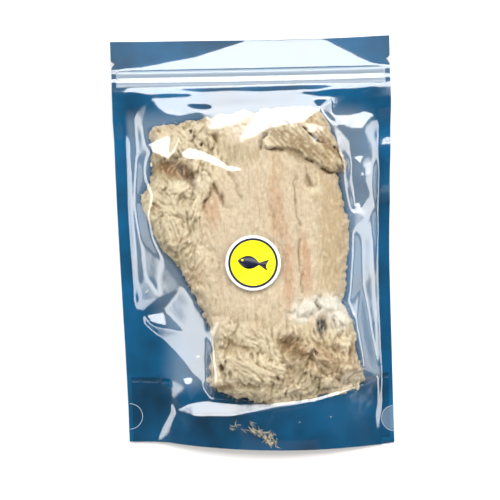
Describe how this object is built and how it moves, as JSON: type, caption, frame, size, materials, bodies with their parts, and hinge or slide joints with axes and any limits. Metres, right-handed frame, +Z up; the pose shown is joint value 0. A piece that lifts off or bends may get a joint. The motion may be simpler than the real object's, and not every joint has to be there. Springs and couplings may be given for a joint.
{
  "type": "dried snakehead in a zip pouch",
  "caption": "Dried, butterflied snakehead fish sealed in a clear-fronted stand-up zip pouch with a bottom gusset and a round sticker, lying on its back with the front up.",
  "frame": {"origin": "middle of the pouch's box, on the surface it lies on", "axes": "+Z up out of the clear front, +Y towards the zip end, -Y towards the bottom gusset, +X to the right seen from the front"},
  "size_m": [0.16, 0.2396, 0.0243],
  "materials": {
    "clear_film": "glossy clear laminate film",
    "blue_film": "glossy blue laminate film",
    "dried_fish": "dry fibrous flesh",
    "sticker": "satin printed vinyl"
  },
  "bodies": {
    "root": {"pouch": "clear_film", "label": "sticker"}
  },
  "joints": []
}
